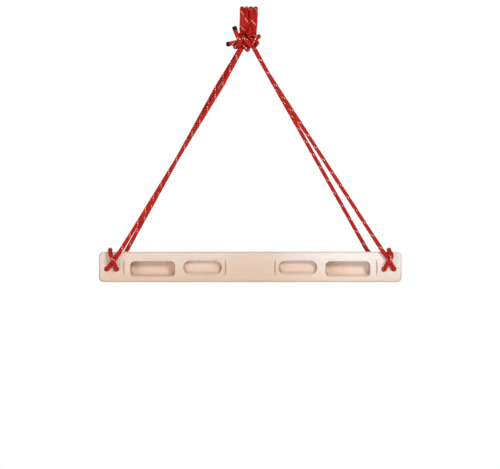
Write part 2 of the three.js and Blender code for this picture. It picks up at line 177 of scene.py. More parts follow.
# The third turn rises and slides aside where it crosses the cord's last strand
WINDING = {
    "passes": 4, "pitch": 0.00765, "centre": -0.0024, "bottom": 0.0245, "bottom_bend": 0.010,
    "rise": 0.0096, "rise_shares": (0.05, 0.54),
    "slide": 0.0039, "slide_shares": (0.15, 0.53), "nudge": 0.0007,
}
WINDING_STEPS = 72  # to a turn
LAST_TURN = 3 + 1 / 8  # where the winding ends, counted from the top of its first turn

# The caps on the cord's two ends
CAP = {
    "length": 0.0065, "wall": 0.0008, "sides": 32,
    # from its open edge
    "bore": 0.0018, "rim": 0.0015, "full": 0.0021, "waist": 0.0035,
    "inset": 0.0002, "waist_share": 0.985,
    # its closed end
    "shoulder": 0.0005, "dome": 0.0016, "dome_share": 0.94, "dome_steps": 7,
}

# The board
EDGE_RADIUS, END_RADIUS = 0.004, 0.008
GROOVE = {
    "inner_margin": 0.0079, "outer_margin": 0.0125, "height": 0.032, "depth": 0.0024,
    "below": 0.001, "ramp": 0.0032, "taper": 0.0028,
}
OUTER_POCKET = {
    "from_end": 0.0905, "below": 0.0026, "width": 0.0756, "height": 0.025, "depth": 0.022,
    "corner": 0.008, "upper_lip": 0.002, "lower_lip": 0.005, "side_lip": 0.002,
    "floor_radius": 0.004, "rise": 0.003,
}
INNER_POCKET = {
    "from_end": 0.1747, "below": 0.0008, "width": 0.065, "height": 0.023, "depth": 0.013,
    "corner": 0.011, "upper_lip": 0.002, "lower_lip": 0.005, "side_lip": 0.0025,
    "floor_radius": 0.005, "rise": 0.005,
}
HOLE = {"outer": 0.0135, "inner": 0.0295, "below": 0.0034, "room": 0.00075, "lip": 0.0016}
OVERRUN = 0.004
BEFORE_FACE = 0.5  # how far a sloping end of a cutter runs on in front, as a share of its slope
ON_FACE = 1e-6  # how near a flat face's plane a point still counts as in it
CREASE = math.radians(16)  # an edge between two faces that differ more than this stays crisp
SANDED, SANDED_ABOVE = 0.0005, math.radians(28)  # width of worn edges, and how sharp they were
ARC_STEPS = 9
HOLE_SIDES = 32

HALF_LENGTH = (board_high.x - board_low.x) / 2
FRONT, BACK = board_low.y, board_high.y
BOARD_TOP = board_high.z
BOARD_MIDDLE = (board_low.z + board_high.z) / 2
HOLE_Z = BOARD_MIDDLE - HOLE["below"]
ON_FRONT = FRONT - CORD_DIAMETER / 2 - TOUCH
ON_BACK = -ON_FRONT
ON_TOP = BOARD_TOP + CORD_DIAMETER / 2 + TOUCH


def add_camera():
    data = bpy.data.cameras.new("camera")
    data.sensor_width = 36
    data.lens = data.sensor_width * (CAMERA_DISTANCE + FRONT) / FRAME_WIDTH
    camera = bpy.data.objects.new("camera", data)
    camera.location = (CAMERA_X, -CAMERA_DISTANCE, CAMERA_Z)
    camera.rotation_euler = (math.pi / 2, 0, 0)
    bpy.context.scene.collection.objects.link(camera)
    bpy.context.scene.camera = camera


def mesh_object(name, vertices, faces):
    mesh = bpy.data.meshes.new(name)
    mesh.from_pydata([tuple(v) for v in vertices], [], faces)
    mesh.update()
    obj = bpy.data.objects.new(name, mesh)
    bpy.context.scene.collection.objects.link(obj)
    return obj


def unit(vector):
    return vector / np.linalg.norm(vector)


# The cord's route

def rounded(corners, bends):
    """The route with an arc at each corner, as wide as its bend and its two runs allow."""
    corners = [np.array(c, float) for c in corners]
    path = [corners[0]]
    for before, corner, after, bend in zip(corners, corners[1:], corners[2:], bends[1:]):
        back, on = before - corner, after - corner
        room = min(np.linalg.norm(back), np.linalg.norm(on)) / 2
        turn = math.pi - math.acos(np.clip(unit(back) @ unit(on), -1, 1))
        if turn < LEAST_TURN:
            path.append(corner)
            continue
        reach = min(bend * math.tan(turn / 2), room)
        start, end = corner + unit(back) * reach, corner + unit(on) * reach
        radius = reach / math.tan(turn / 2)
        middle = corner + unit((start + end) / 2 - corner) * radius / math.cos(turn / 2)
        steps = max(2, round(turn / BEND_STEP))
        for step in range(steps + 1):
            share = step / steps
            a = math.sin((1 - share) * turn) / math.sin(turn)
            b = math.sin(share * turn) / math.sin(turn)
            path.append(middle + (start - middle) * a + (end - middle) * b)
    path.append(corners[-1])
    return np.array(path)


def lengths_along(path):
    return np.concatenate([[0], np.cumsum(np.linalg.norm(np.diff(path, axis=0), axis=1))])


def evenly(path, step):
    along = lengths_along(path)
    wanted = np.linspace(0, along[-1], round(along[-1] / step) + 1)
    return np.stack([np.interp(wanted, along, path[:, k]) for k in range(3)], axis=1)


def softened(values, width):
    """A running average that leaves the two ends where they are."""
    reach = 3 * width
    kernel = np.exp(-0.5 * (np.arange(-reach, reach + 1) / width) ** 2)
    kernel /= kernel.sum()
    first, last = values[0], values[-1]
    before = 2 * first - values[reach:0:-1]
    after = 2 * last - values[-2:-reach - 2:-1]
    padded = np.concatenate([before, values, after])
    if values.ndim == 1:
        return np.convolve(padded, kernel, "valid")
    return np.stack([np.convolve(padded[:, k], kernel, "valid") for k in range(3)], axis=1)


def swell(turned, shares):
    share = (turned - shares[0]) / (shares[1] - shares[0])
    return 0.5 - 0.5 * math.cos(2 * math.pi * share) if 0 < share < 1 else 0


def winding_route():
    radius = OPENING_RADIUS + CORD_DIAMETER / 2
    bend = WINDING["bottom_bend"]
    low_centre = WINDING["bottom"] - bend
    turn_off = (bend - radius) / low_centre
    path = []
    for step in range(-WINDING_STEPS // 4, round(LAST_TURN * WINDING_STEPS) + 1):
        turn = step / WINDING_STEPS
        angle = turn * 2 * math.pi
        low = math.cos(angle) < turn_off
        third, second = turn - WINDING["passes"] + 2, turn - WINDING["passes"] + 3
        reach = (bend if low else radius) + WINDING["rise"] * swell(third, WINDING["rise_shares"])
        sideways = WINDING["slide"] * swell(third, WINDING["slide_shares"])
        sideways -= WINDING["nudge"] * swell(second, WINDING["rise_shares"])
        advance = turn - math.sin(angle) / (2 * math.pi) - (WINDING["passes"] - 1) / 2
        path.append((
            WINDING["centre"] + WINDING["pitch"] * advance + sideways,
            -reach * math.sin(angle),
            reach * math.cos(angle) - (low_centre if low else 0),
        ))
    return path


def wrap_route(wrap):
    """Corners of the cord round one end of the board, from its front leg to its back leg."""
    def at(from_end, y, z):
        return (wrap["side"] * (HALF_LENGTH - from_end), y, z)

    over = ON_FRONT - LAYER
    return [
        at(wrap["leg_top"], ON_FRONT, ON_TOP),
        at(wrap["cross"], ON_FRONT, BOARD_TOP - wrap["cross_drop"]),
        at(HOLE["outer"], ON_FRONT, HOLE_Z),
        at(HOLE["outer"], ON_BACK, HOLE_Z),
        at(wrap["over_back"], ON_BACK, ON_TOP),
        at(wrap["over_front"], ON_FRONT, ON_TOP),
        at(wrap["bulge"], over, BOARD_TOP - BULGE_DROP),
        at(wrap["cross"], over, BOARD_TOP - wrap["cross_drop"]),
        at(HOLE["inner"], ON_FRONT - HOLE_ENTRY, HOLE_Z),
        at(HOLE["inner"], ON_BACK, HOLE_Z),
        at(wrap["back_top"], ON_BACK, ON_TOP),
    ]


def whole_route():
    """The cord from end to end, as evenly spaced points."""
    left, right = wrap_route(WRAPS["left"]), wrap_route(WRAPS["right"])[::-1]
    stretches = [
        (LEFT_STRAND[::-1], KNOT_BEND),
        (LEG_POINTS["left_front"][:1], KNOT_BEND),
        (LEG_POINTS["left_front"][1:], SLACK_BEND),
        (left, WRAP_BEND),
        (LEG_POINTS["left_back"][1:], SLACK_BEND),
        (LEG_POINTS["left_back"][:1], KNOT_BEND),
        (WINDING_START, KNOT_BEND),
        (winding_route(), KNOT_BEND),
        (WINDING_END, KNOT_BEND),
        (LEG_POINTS["right_back"][:1], KNOT_BEND),
        (LEG_POINTS["right_back"][1:], SLACK_BEND),
        (right, WRAP_BEND),
        (LEG_POINTS["right_front"][1:], SLACK_BEND),
        (LEG_POINTS["right_front"][:1], KNOT_BEND),
        (RIGHT_STRAND, KNOT_BEND),
    ]
    corners = [corner for places, _ in stretches for corner in places]
    bends = [bend for places, bend in stretches for _ in places]
    return softened(evenly(rounded(corners, bends), CORD_STEP), ROUTE_BLUR)


def leg_point(name, distance):
    """Where a leg's line is this far from the knot's middle."""
    near, far = (np.array(p) for p in LEG_POINTS[name])
    along = unit(far - near)
    offset = near - KNOT_CENTRE
    b = offset @ along
    c = offset @ offset - distance * distance
    return near + along * (math.sqrt(b * b - c) - b)


def wrap_end(name):
    """Where a leg meets the wrap round the board's end."""
    side, face = name.split("_")
    corner = np.array(wrap_route(WRAPS[side])[0 if face == "front" else -1])
    return corner + unit(np.array(LEG_POINTS[name][1]) - corner) * STRAIGHT


def frames_along(path):
    """Two directions square to the route at each of its points, without twist."""
    tangents = np.gradient(path, axis=0)
    tangents /= np.linalg.norm(tangents, axis=1)[:, None]
    normals = np.zeros_like(path)
    normal = np.cross(tangents[0], (0, 1, 0))
    for i, along in enumerate(tangents):
        normal = unit(normal - along * (normal @ along))
        normals[i] = normal
    return tangents, normals, np.cross(tangents, normals)


class Cord:
    """The whole cord: its route, how thick it is along it, and where it is pressed flat."""

    def __init__(self):
        self.path = whole_route()
        self.along = lengths_along(self.path)
        self.tangents, self.normals, self.others = frames_along(self.path)
        self.radius = self.radii()
        self.flat = self.flatness()

    def nearest(self, point):
        return int(np.argmin(np.linalg.norm(self.path - point, axis=1)))

    def radii(self):
        keys = []
        for name in LEG_POINTS:
            top, bottom = self.nearest(leg_point(name, LOWER_END)), self.nearest(wrap_end(name))
            inwards = 1 if bottom > top else -1
            keys += [
                (self.along[self.nearest(leg_point(name, LEAVES_KNOT))], KNOT_RADIUS),
                (self.along[top], LEG_RADIUS),
                (self.along[bottom] - inwards * THICKENS, LEG_RADIUS),
                (self.along[bottom], WRAP_RADIUS),
            ]
        keys.sort()
        values = np.interp(self.along, [k[0] for k in keys], [k[1] for k in keys])
        _, depths, heights = self.path.T
        in_hole = (np.abs(depths) < BACK - HOLE_MOUTH) & (np.abs(heights - HOLE_Z) < TOUCH)
        values[in_hole] = HOLE_RADIUS
        return softened(values, THICKNESS_BLUR)

    def flatness(self):
        """1 where the cord is pressed flat in the winding, and 0 away from it."""
        first, last = self.nearest(WINDING_START[-1]), self.nearest(WINDING_END[1])
        values = np.zeros(len(self.path))
        values[first:last] = 1
        return softened(values, PRESSED_BLUR)

    def tube(self, name, first, last):
        """The stretch of the cord between two of its points, as a closed tube."""
        chosen = slice(first, last + 1)
        angles = np.arange(CORD_SIDES) / CORD_SIDES * 2 * math.pi
        normals, others = self.normals[chosen, None], self.others[chosen, None]
        round_it = np.cos(angles)[None, :, None] * normals + np.sin(angles)[None, :, None] * others
        offsets = round_it * self.radius[chosen, None, None]
        flat = self.flat[chosen, None, None]
        across = np.array([1.0, 0, 0]) - self.tangents[chosen] * self.tangents[chosen][:, :1]
        across /= np.linalg.norm(across, axis=1)[:, None] + 1e-9
        sideways = (offsets * across[:, None]).sum(2, keepdims=True) * across[:, None]
        offsets = offsets * (1 - PRESSED * flat) + sideways * SPREAD * flat
        points = (self.path[chosen, None] + offsets).reshape(-1, 3)
        rings = last - first + 1
        faces = []
        for ring in range(rings - 1):
            for side in range(CORD_SIDES):
                a, b = ring * CORD_SIDES + side, ring * CORD_SIDES + (side + 1) % CORD_SIDES
                faces.append((a, b, b + CORD_SIDES, a + CORD_SIDES))
        faces.append(tuple(range(CORD_SIDES))[::-1])
        faces.append(tuple(range((rings - 1) * CORD_SIDES, rings * CORD_SIDES)))
        obj = mesh_object(name, points, faces)
        layer = obj.data.uv_layers.new(name="braid")
        uv = np.zeros((len(obj.data.loops), 2), np.float32)
        for face in obj.data.polygons[: (rings - 1) * CORD_SIDES]:
            ring, side = divmod(face.index, CORD_SIDES)
            for loop, (du, dv) in zip(face.loop_indices, ((0, 0), (1, 0), (1, 1), (0, 1))):
                uv[loop] = ((side + du) / CORD_SIDES, self.along[first + ring + dv])
        layer.data.foreach_set("uv", uv.ravel())
        for face in obj.data.polygons[: (rings - 1) * CORD_SIDES]:
            face.use_smooth = True
        return obj


# Materials

class Nodes:
    """Short names for building a material's nodes."""

    def __init__(self, name):
        self.material = bpy.data.materials.new(name)
        self.material.use_nodes = True
        self.tree = self.material.node_tree
        self.shader = self.tree.nodes["Principled BSDF"]

    def new(self, kind, **settings):
        node = self.tree.nodes.new(kind)
        for key, value in settings.items():
            setattr(node, key, value)
        return node

    def put(self, value, socket):
        if isinstance(value, bpy.types.NodeSocket):
            self.tree.links.new(value, socket)
        else:
            socket.default_value = value

    def math(self, operation, *values):
        node = self.new("ShaderNodeMath", operation=operation)
        for value, socket in zip(values, node.inputs):
            self.put(value, socket)
        return node.outputs[0]

    def mix(self, share, first, second):
        node = self.new("ShaderNodeMix", data_type="RGBA")
        self.put(share, node.inputs[0])
        self.put(first, node.inputs[6])
        self.put(second, node.inputs[7])
        return node.outputs[2]

    def ramp(self, value, stops):
        node = self.new("ShaderNodeValToRGB")
        self.put(value, node.inputs[0])
        elements = node.color_ramp.elements
        while len(elements) < len(stops):
            elements.new(0.5)
        for element, (place, grey) in zip(elements, stops):
            element.position = place
            element.color = (grey, grey, grey, 1)
        return node.outputs[0]

    def noise(self, vector, scale, detail=3, roughness=0.5):
        node = self.new("ShaderNodeTexNoise")
        self.put(vector, node.inputs["Vector"])
        self.put(scale, node.inputs["Scale"])
        self.put(detail, node.inputs["Detail"])
        self.put(roughness, node.inputs["Roughness"])
        return node.outputs[0]

    def stretched(self, vector, scale):
        node = self.new("ShaderNodeMapping")
        self.put(vector, node.inputs["Vector"])
        node.inputs["Scale"].default_value = scale
        return node.outputs[0]

    def bump(self, height, distance, strength=1.0):
        node = self.new("ShaderNodeBump")
        node.inputs["Strength"].default_value = strength
        node.inputs["Distance"].default_value = distance
        self.put(height, node.inputs["Height"])
        self.put(node.outputs[0], self.shader.inputs["Normal"])


def linear(red, green, blue):
    """A colour as it looks on screen, from 0 to 255, in the units of a shader's socket."""
    return tuple((c / 255 / 12.92 if c < 10.3 else ((c / 255 + 0.055) / 1.055) ** 2.4)
                 for c in (red, green, blue)) + (1,)


# Colours as they look on screen
# The darkest red is painted shade, for the gaps between the strands.
CORD_COLOURS = {
    "dull": linear(200, 19, 8), "bright": linear(229, 37, 16), "painted_gap_shade": linear(92, 3, 2),
    "cream": linear(250, 236, 212), "sheen": linear(255, 120, 105),
}
# Of these, the near-white one is painted light, the one for low on the board is painted shade, and
# the last is end grain and painted shade.
WOOD_COLOURS = {
    "dark": linear(222, 195, 177), "light": linear(239, 222, 211), "warm": linear(238, 208, 182),
    "painted_light": linear(252, 245, 240), "middle": linear(226, 192, 160),
    "lower": linear(224, 188, 158), "flecks": linear(176, 132, 104),
    "end_grain_and_painted_shade": linear(174, 126, 98),
}
CAP_COLOURS = {"dark": linear(9, 8, 9), "light": linear(24, 22, 23)}

BRAID = {
    "strands": 8,  # each way
    "lay": 0.025,  # along the cord, for one turn of a strand
    "roundness": 0.6,  # exponent of a strand's height across it
    "dip": 0.5,  # how much lower a strand is where it goes under
    "fibres": 5, "fibre_height": 0.06,
    "relief": 0.00045, "relief_strength": 0.9,
    "cream_above": 0.55,  # height over which the cream strand shows
    # heights over which the painted shade in the gaps between the strands gives way to red
    "painted_gap_shade_stops": [(0.15, 0), (0.6, 1)],
    "spots": 300.0,
}
# Grain, as noise that is stretched by these scales along X, Y and Z
BROAD_GRAIN, STREAKS = (3, 22, 22), (14, 420, 420)
FINE_GRAIN, FLECKS = (60, 1800, 1800), (330, 2600, 1500)
BROAD_SHARE, STREAK_SHARE, FINE_SHARE = 0.45, 0.40, 0.15
GRAIN_STOPS = [(0.36, 0), (0.64, 1)]
FLECK_STOPS, FLECK_SHARE = [(0.69, 0), (0.74, 1)], 0.45
DRIFT, DRIFT_STOPS, DRIFT_SHARE = 9.0, [(0.35, 0), (0.7, 1)], 0.35
# Painted light makes the wood paler along X, towards its right end, and painted shade makes it
# darker into the board, in the pockets and hollows, each for a metre
PAINTED_LIGHT_RATE, PAINTED_SHADE_INTO_BOARD, PAINTED_LIGHT_START = 5.5, 20.0, 0.2
PAINTED_LIGHT_STOPS = [(0, 0), (0.6, 0.85)]
MIDDLE_STOPS = [(0.025, 0.32), (0.055, 0)]  # distances from the board's middle
# Under this height it gets darker too, as painted shade, at this rate for a metre
PAINTED_SHADE_BELOW, PAINTED_SHADE_LOW_RATE, PAINTED_SHADE_LOW_STOPS = -0.405, 24.0, [(0, 0), (1, 0.7)]
# The ends of the cuts, which face along the board, are darker, partly as end grain and partly as
# painted shade.
END_GRAIN_AND_PAINTED_SHADE_STOPS = [(0.2, 0), (0.6, 1)]  # by how far a surface faces along the board
END_GRAIN_AND_PAINTED_SHADE_SHARE, FAR_END_LESS = 0.55, 0.4  # in the cuts, and less at the board's two ends
WOOD_ROUGHNESS, STREAK_ROUGHNESS, WOOD_RELIEF = 0.46, 0.16, 0.00012
WRINKLES, WRINKLE_RELIEF = 700.0, 0.0002
CAP_ROUGHNESS, WRINKLE_ROUGHNESS = 0.42, 0.2


def cord_material():
    """A tight braid of two sets of red strands, with one cream strand in the first set."""
    strands = BRAID["strands"]
    n = Nodes("cord")
    uv = n.new("ShaderNodeUVMap", uv_map="braid").outputs[0]
    split = n.new("ShaderNodeSeparateXYZ")
    n.put(uv, split.inputs[0])
    around = n.math("MULTIPLY", split.outputs[0], strands)
    along = n.math("MULTIPLY", split.outputs[1], strands / BRAID["lay"])
    one, two = n.math("ADD", around, along), n.math("SUBTRACT", around, along)
    across_one, across_two = n.math("FRACT", one), n.math("FRACT", two)
    index_one, index_two = n.math("FLOOR", one), n.math("FLOOR", two)
    second_share = n.math("FLOORED_MODULO", n.math("ADD", index_one, index_two), 2.0)
    first_share = n.math("SUBTRACT", 1.0, second_share)
    hump_one = n.math("SINE", n.math("MULTIPLY", across_one, math.pi))
    hump_two = n.math("SINE", n.math("MULTIPLY", across_two, math.pi))

    def strand_height(hump, along_hump):
        dome = n.math("POWER", hump, BRAID["roundness"])
        dip = n.math("MULTIPLY_ADD", along_hump, BRAID["dip"], 1 - BRAID["dip"])
        return n.math("MULTIPLY", dome, dip)

    def on_top(first, second):
        first = n.math("MULTIPLY", first, first_share)
        return n.math("ADD", first, n.math("MULTIPLY", second, second_share))

    height = on_top(strand_height(hump_one, hump_two), strand_height(hump_two, hump_one))
    fibre_place = on_top(across_one, across_two)
    fibres = n.math("SINE", n.math("MULTIPLY", fibre_place, BRAID["fibres"] * 2 * math.pi))
    relief = n.math("ADD", height, n.math("MULTIPLY", fibres, BRAID["fibre_height"]))
    n.bump(relief, BRAID["relief"], BRAID["relief_strength"])
    place = n.math("FLOORED_MODULO", index_one, float(strands))
    tracer = n.math("MULTIPLY", n.math("LESS_THAN", place, 0.5), first_share)
    tracer = n.math("MULTIPLY", tracer, n.math("GREATER_THAN", height, BRAID["cream_above"]))
    spots = n.noise(uv, BRAID["spots"], 2)
    red = n.mix(spots, CORD_COLOURS["dull"], CORD_COLOURS["bright"])
    # Painted shade: the gaps between the strands are darker.
    red = n.mix(n.ramp(height, BRAID["painted_gap_shade_stops"]), CORD_COLOURS["painted_gap_shade"], red)
    n.put(n.mix(tracer, red, CORD_COLOURS["cream"]), n.shader.inputs["Base Color"])
    n.shader.inputs["Roughness"].default_value = 0.55
    n.shader.inputs["Specular IOR Level"].default_value = 0.22
    n.shader.inputs["Sheen Weight"].default_value = 0.05
    n.shader.inputs["Sheen Roughness"].default_value = 0.5
    n.shader.inputs["Sheen Tint"].default_value = CORD_COLOURS["sheen"]
    return n.material


def wood_material():
    """Bare pale hardwood whose grain runs along the board."""
    n = Nodes("wood")
    place = n.new("ShaderNodeTexCoord").outputs["Object"]
    broad = n.noise(n.stretched(place, BROAD_GRAIN), 1.0, 3, 0.5)
    drift = n.noise(place, DRIFT, 2)
    streaks = n.noise(n.stretched(place, STREAKS), 1.0, 4, 0.6)
    fine = n.noise(n.stretched(place, FINE_GRAIN), 1.0, 3, 0.6)
    flecks = n.ramp(n.noise(n.stretched(place, FLECKS), 1.0, 1), FLECK_STOPS)
    tone = n.math("MULTIPLY_ADD", broad, BROAD_SHARE, n.math("MULTIPLY", streaks, STREAK_SHARE))
    tone = n.math("MULTIPLY_ADD", fine, FINE_SHARE, tone)
    colour = n.mix(n.ramp(tone, GRAIN_STOPS), WOOD_COLOURS["dark"], WOOD_COLOURS["light"])
    drift = n.math("MULTIPLY", n.ramp(drift, DRIFT_STOPS), DRIFT_SHARE)
    colour = n.mix(drift, colour, WOOD_COLOURS["warm"])
    split = n.new("ShaderNodeSeparateXYZ")
    n.put(place, split.inputs[0])
    x, y, z = split.outputs
    # Painted light towards the right end, and painted shade deeper into the board
    painted_light_and_shade = n.math("MULTIPLY_ADD", x, PAINTED_LIGHT_RATE, PAINTED_SHADE_INTO_BOARD * FRONT - PAINTED_LIGHT_START)
    painted_light_and_shade = n.math("MULTIPLY_ADD", y, -PAINTED_SHADE_INTO_BOARD, painted_light_and_shade)
    colour = n.mix(n.ramp(painted_light_and_shade, PAINTED_LIGHT_STOPS), colour, WOOD_COLOURS["painted_light"])
    from_middle = n.math("ABSOLUTE", x)
    colour = n.mix(n.ramp(from_middle, MIDDLE_STOPS), colour, WOOD_COLOURS["middle"])
    # Painted shade: darker towards the bottom of the board
    lower = n.math("MULTIPLY_ADD", z, -PAINTED_SHADE_LOW_RATE, PAINTED_SHADE_LOW_RATE * PAINTED_SHADE_BELOW)
    colour = n.mix(n.ramp(lower, PAINTED_SHADE_LOW_STOPS), colour, WOOD_COLOURS["lower"])
    colour = n.mix(n.math("MULTIPLY", flecks, FLECK_SHARE), colour, WOOD_COLOURS["flecks"])
    # End grain and painted shade on surfaces that face along the board, less at the board's two
    # ends
    faces = n.new("ShaderNodeSeparateXYZ")
    n.put(n.new("ShaderNodeTexCoord").outputs["Normal"], faces.inputs[0])
    end_grain_and_painted_shade = n.ramp(n.math("ABSOLUTE", faces.outputs[0]), END_GRAIN_AND_PAINTED_SHADE_STOPS)
    far_out = n.math("GREATER_THAN", from_middle, HALF_LENGTH - EDGE_RADIUS)
    share = n.math("MULTIPLY_ADD", far_out, -FAR_END_LESS, END_GRAIN_AND_PAINTED_SHADE_SHARE)
    end_grain_and_painted_shade = n.math("MULTIPLY", end_grain_and_painted_shade, share)
    colour = n.mix(end_grain_and_painted_shade, colour, WOOD_COLOURS["end_grain_and_painted_shade"])
    n.put(colour, n.shader.inputs["Base Color"])
    rough = n.math("MULTIPLY_ADD", streaks, STREAK_ROUGHNESS, WOOD_ROUGHNESS)
    n.put(rough, n.shader.inputs["Roughness"])
    n.shader.inputs["Specular IOR Level"].default_value = 0.4
    relief = n.math("MULTIPLY_ADD", fine, 0.5, n.math("MULTIPLY", flecks, -0.5))
    n.bump(relief, WOOD_RELIEF, 0.6)
    return n.material


def cap_material():
    """Shrunk black tubing, a little wrinkled."""
    n = Nodes("cord_end")
    wrinkles = n.noise(n.new("ShaderNodeTexCoord").outputs["Object"], WRINKLES, 3)
    black = n.mix(wrinkles, CAP_COLOURS["dark"], CAP_COLOURS["light"])
    n.put(black, n.shader.inputs["Base Color"])
    rough = n.math("MULTIPLY_ADD", wrinkles, WRINKLE_ROUGHNESS, CAP_ROUGHNESS)
    n.put(rough, n.shader.inputs["Roughness"])
    n.shader.inputs["Specular IOR Level"].default_value = 0.15
    n.bump(wrinkles, WRINKLE_RELIEF, 0.5)
    return n.material


# The board

def rounded_ring(centre_x, y, bottom, top, half_width, corner):
    corners = [
        (centre_x + half_width - corner, bottom + corner, -math.pi / 2),
        (centre_x + half_width - corner, top - corner, 0),
        (centre_x - half_width + corner, top - corner, math.pi / 2),
        (centre_x - half_width + corner, bottom + corner, math.pi),
    ]
    ring = []
    for x, z, start in corners:
        for step in range(ARC_STEPS + 1):
            angle = start + step / ARC_STEPS * math.pi / 2
            ring.append((x + corner * math.cos(angle), y, z + corner * math.sin(angle)))
    return ring


def loft(name, rings):
    """A closed solid through rings of points."""
    count = len(rings[0])
    vertices = [point for ring in rings for point in ring]
    faces = [tuple(range(count)), tuple(range(len(vertices) - count, len(vertices)))[::-1]]
    for ring in range(len(rings) - 1):
        for side in range(count):
            a, b = ring * count + side, ring * count + (side + 1) % count
            faces.append((a, a + count, b + count, b))
    obj = mesh_object(name, vertices, faces)
    mesh = bmesh.new()
    mesh.from_mesh(obj.data)
    bmesh.ops.recalc_face_normals(mesh, faces=mesh.faces)
    mesh.to_mesh(obj.data)
    mesh.free()
    return obj


def make_blank():
    rings = []
    for y, inward in ((FRONT, 1), (BACK, -1)):
        arc = []
        for step in range(ARC_STEPS + 1):
            angle = step / ARC_STEPS * math.pi / 2
            inset = EDGE_RADIUS * (1 - math.sin(angle))
            depth = EDGE_RADIUS * (1 - math.cos(angle))
            arc.append(rounded_ring(
                0, y + inward * depth, board_low.z + inset, board_high.z - inset,
                HALF_LENGTH - inset, END_RADIUS - inset,
            ))
        rings += arc[::inward]
    return loft("wooden_board", rings)


def lip(radius, depth):
    """How far a rounded edge of this radius opens a wall, at a depth under the face."""
    inside = max(radius - max(depth, 0), 0)
    return radius - math.sqrt(radius * radius - inside * inside)


def pocket_cutter(pocket, side):
    centre = side * (HALF_LENGTH - pocket["from_end"])
    middle = BOARD_MIDDLE - pocket["below"]
    depths = [-OVERRUN]
    for step in range(ARC_STEPS + 1):
        depths.append(pocket["lower_lip"] * (1 - math.cos(step / ARC_STEPS * math.pi / 2)))
    for step in range(ARC_STEPS + 1):
        turned = math.sin(step / ARC_STEPS * math.pi / 2)
        depths.append(pocket["depth"] - pocket["floor_radius"] * (1 - turned))
    rings = []
    for depth in depths:
        into_floor = max(depth - pocket["depth"] + pocket["floor_radius"], 0)
        inset = lip(pocket["floor_radius"], pocket["floor_radius"] - into_floor)
        climb = pocket["rise"] * max(depth, 0) / pocket["depth"]
        half = pocket["width"] / 2 + lip(pocket["side_lip"], depth) - inset
        top = middle + pocket["height"] / 2 + lip(pocket["upper_lip"], depth) - inset
        bottom = middle - pocket["height"] / 2 - lip(pocket["lower_lip"], depth) + inset + climb
        corner = min(pocket["corner"] - inset, (top - bottom) / 2)
        rings.append(rounded_ring(centre, FRONT + depth, bottom, top, half, corner))
    return loft("pocket_cutter", rings)


def groove_cutter(side):
    half, sagitta = GROOVE["height"] / 2, GROOVE["depth"]
    radius = (half * half + sagitta * sagitta) / (2 * sagitta)
    middle = BOARD_MIDDLE - GROOVE["below"]
    near = HALF_LENGTH - INNER_POCKET["from_end"] - INNER_POCKET["width"] / 2
    near -= GROOVE["inner_margin"]
    far = HALF_LENGTH - OUTER_POCKET["from_end"] + OUTER_POCKET["width"] / 2
    far += GROOVE["outer_margin"]
    steps = 3 * ARC_STEPS

    def ring(edge, inwards, share):
        """A section of a sloping end, between the face (share 0) and the floor (share 1)."""
        arc = []
        for step in range(steps + 1):
            z = half * (2 * step / steps - 1)
            depth = math.sqrt(radius * radius - z * z) - radius + sagitta
            on_face = edge + inwards * GROOVE["taper"] * (1 - depth / sagitta)
            floor = edge + inwards * GROOVE["ramp"]
            along = on_face + share * (floor - on_face)
            arc.append((side * along, FRONT + share * depth, middle + z))
        return [(x, FRONT - OVERRUN, z) for x, _, z in (arc[-1], arc[0])] + arc

    return loft("groove_cutter", [
        ring(near, 1, -BEFORE_FACE),
        ring(near, 1, 1),
        ring(far, -1, 1),
        ring(far, -1, -BEFORE_FACE),
    ])


def hole_cutter(x):
    radius = CORD_DIAMETER / 2 + HOLE["room"]
    profile = [(radius + HOLE["lip"], FRONT - OVERRUN)]
    for step in range(ARC_STEPS + 1):
        depth = HOLE["lip"] * (1 - math.cos(step / ARC_STEPS * math.pi / 2))
        profile.append((radius + lip(HOLE["lip"], depth), FRONT + depth))
    profile += [(r, -y) for r, y in profile[::-1]]
    rings = []
    for r, y in profile:
        angles = [step / HOLE_SIDES * 2 * math.pi for step in range(HOLE_SIDES)]
        rings.append([(x + r * math.cos(a), y, HOLE_Z + r * math.sin(a)) for a in angles])
    return loft("hole_cutter", rings)


def apply_modifiers(obj):
    evaluated = obj.evaluated_get(bpy.context.evaluated_depsgraph_get())
    mesh = bpy.data.meshes.new_from_object(evaluated)
    obj.modifiers.clear()
    obj.data = mesh


def make_board():
    board = make_blank()
    for side in (-1, 1):
        cutters = [
            groove_cutter(side),
            pocket_cutter(OUTER_POCKET, side),
            pocket_cutter(INNER_POCKET, side),
            hole_cutter(side * (HALF_LENGTH - HOLE["inner"])),
            hole_cutter(side * (HALF_LENGTH - HOLE["outer"])),
        ]
        for cutter in cutters:
            cut = board.modifiers.new("cut", "BOOLEAN")
            cut.object = cutter
            cut.operation = "DIFFERENCE"
            cut.solver = "EXACT"
            apply_modifiers(board)
            bpy.data.objects.remove(cutter)
    soften = board.modifiers.new("sanded", "BEVEL")
    soften.width = SANDED
    soften.segments = 2
    soften.limit_method = "ANGLE"
    soften.angle_limit = SANDED_ABOVE
    soften.use_clamp_overlap = True
    apply_modifiers(board)
    for face in board.data.polygons:
        face.use_smooth = True
    mesh = bmesh.new()
    mesh.from_mesh(board.data)
    for edge in mesh.edges:
        flat = any(all(abs(v.co.y - y) < ON_FACE for v in edge.verts) for y in (FRONT, BACK))
        edge.smooth = not flat and edge.calc_face_angle(0) < CREASE
    mesh.to_mesh(board.data)
    mesh.free()
    weigh = board.modifiers.new("weigh", "WEIGHTED_NORMAL")
    weigh.keep_sharp = True
    apply_modifiers(board)
    return board


